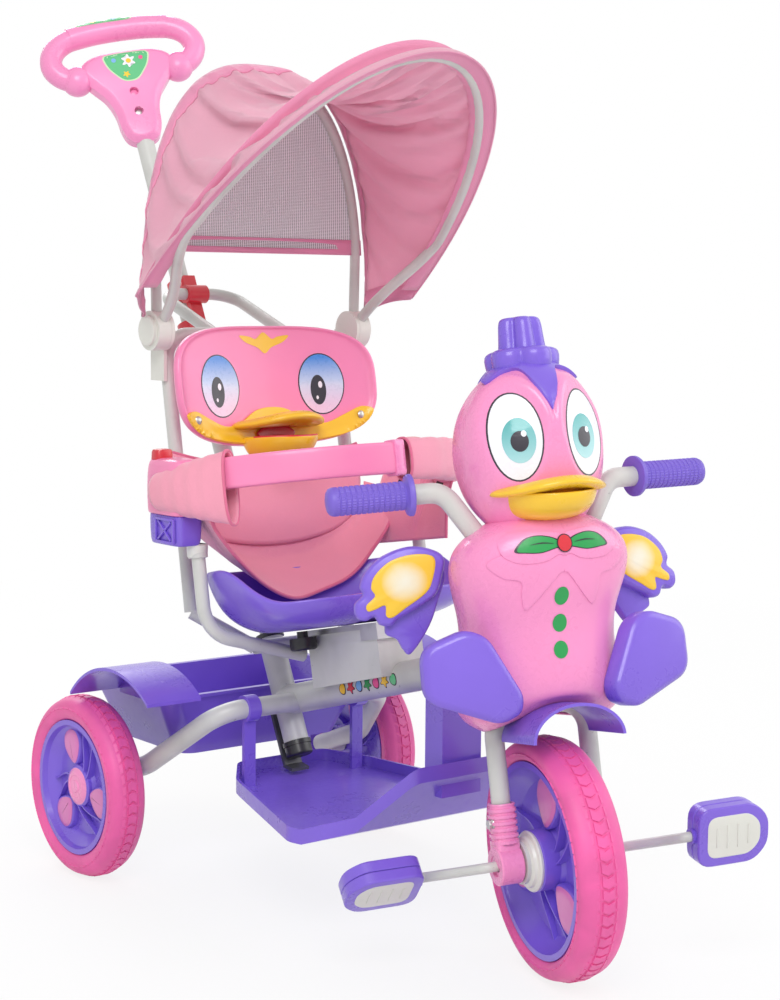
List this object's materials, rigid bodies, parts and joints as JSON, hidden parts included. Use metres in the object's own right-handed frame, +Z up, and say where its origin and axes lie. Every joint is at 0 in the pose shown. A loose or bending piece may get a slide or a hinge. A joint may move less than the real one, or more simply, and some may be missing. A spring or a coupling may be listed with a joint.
{
  "type": "kids tricycle",
  "caption": "Child's push-along tricycle with pedals on the front wheel, a duck figurehead over the fork, guard bar, rear basket, tilting canopy and parent steering handle.",
  "frame": {"origin": "on the floor, under the centre of the whole object's bounding box", "axes": "+Z up, the tricycle faces -Y, +X is towards the rider's left"},
  "size_m": [0.43, 0.9989, 1.017],
  "materials": {
    "frame_tube": "light grey-white powder coat",
    "dark_metal": "dark grey",
    "steel": "zinc plated",
    "purple_plastic": "moulded, slightly glossy",
    "pink_plastic": "moulded, glossy",
    "light_pink_plastic": "moulded, glossy",
    "yellow_plastic": "moulded, glossy",
    "green_plastic": "moulded, glossy",
    "red_plastic": "moulded, glossy",
    "grey_plastic": "moulded, satin",
    "black_plastic": "moulded, satin",
    "tyre_foam": "matt foam rubber",
    "canopy_cloth": "thin woven nylon",
    "mesh_cloth": "open mesh",
    "liner_cloth": "padded cloth"
  },
  "bodies": {
    "frame": {"frame_main": "frame_tube", "rear_arch": "frame_tube", "pole_bushings": "black_plastic", "pole_latch": "dark_metal", "seat_slide": "steel", "seat_bracket": "frame_tube", "seat_knob": "black_plastic", "seat": "purple_plastic", "backrest_frame": "frame_tube", "backrest": "light_pink_plastic", "backrest_bill": "yellow_plastic", "pole_stay": "frame_tube", "pole_clips": "purple_plastic", "arm_posts": "frame_tube", "arm_housings_lower": "purple_plastic", "arm_housings_upper": "light_pink_plastic", "release_buttons": "red_plastic", "guard_bar": "light_pink_plastic", "seat_liner": "liner_cloth", "footrest": "purple_plastic", "rear_basket": "purple_plastic", "canopy_brackets": "grey_plastic"},
    "canopy": {"canopy_pivots": "grey_plastic", "canopy_rear_hoop": "frame_tube", "canopy_front_hoop": "frame_tube", "canopy_cover": "canopy_cloth", "canopy_window": "mesh_cloth"},
    "steering": {"fork": "frame_tube", "handlebar": "frame_tube", "handlebar_grips": "purple_plastic", "fork_ends": "pink_plastic", "duck_body": "light_pink_plastic", "duck_head": "light_pink_plastic", "duck_bill": "yellow_plastic", "duck_crest": "purple_plastic", "duck_bow": "green_plastic", "duck_wings": "purple_plastic", "duck_feet": "purple_plastic", "mudguard": "purple_plastic"},
    "front_wheel": {"front_tyre": "tyre_foam", "front_rim": "purple_plastic", "crank": "steel"},
    "right_pedal": {"right_pedal": "purple_plastic"},
    "left_pedal": {"left_pedal": "purple_plastic"},
    "right_rear_wheel": {"right_rear_tyre": "tyre_foam", "right_rear_rim": "purple_plastic", "right_hub_cap": "pink_plastic"},
    "left_rear_wheel": {"left_rear_tyre": "tyre_foam", "left_rear_rim": "purple_plastic", "left_hub_cap": "pink_plastic"},
    "push_bar": {"push_pole": "frame_tube", "pole_cap": "black_plastic", "push_handle": "pink_plastic"}
  },
  "joints": [
    {"name": "steering", "type": "hinge", "parent": "frame", "child": "steering", "pos_m": [0, -0.373, 0.1206], "axis": [0, 0.1736, 0.9848], "range_deg": [-12.4, 47.6]},
    {"name": "front_wheel_spin", "type": "hinge", "parent": "steering", "child": "front_wheel", "pos_m": [0, -0.373, 0.1206], "axis": [0.9532, -0.2978, 0.0525], "continuous": true},
    {"name": "right_pedal_spin", "type": "hinge", "parent": "front_wheel", "child": "right_pedal", "pos_m": [-0.13525, -0.27016, 0.09278], "axis": [0.9532, -0.2978, 0.0525], "continuous": true},
    {"name": "left_pedal_spin", "type": "hinge", "parent": "front_wheel", "child": "left_pedal", "pos_m": [0.13525, -0.47584, 0.14842], "axis": [0.9532, -0.2978, 0.0525], "continuous": true},
    {"name": "right_rear_wheel_spin", "type": "hinge", "parent": "frame", "child": "right_rear_wheel", "pos_m": [-0.193, 0.208, 0.104], "axis": [1, 0, 0], "continuous": true},
    {"name": "left_rear_wheel_spin", "type": "hinge", "parent": "frame", "child": "left_rear_wheel", "pos_m": [0.193, 0.208, 0.104], "axis": [1, 0, 0], "continuous": true},
    {"name": "push_bar_steer", "type": "hinge", "parent": "frame", "child": "push_bar", "pos_m": [0, 0.064, 0.156], "axis": [0, 0.4289, 0.9033], "range_deg": [-17.7, 67.7]},
    {"name": "canopy_tilt", "type": "hinge", "parent": "frame", "child": "canopy", "pos_m": [0, 0.143, 0.625], "axis": [1, 0, 0], "range_deg": [-20, 25]}
  ],
  "couplings": [
    {"joint": "push_bar_steer", "follows": "steering", "ratio": 1.4205}
  ]
}
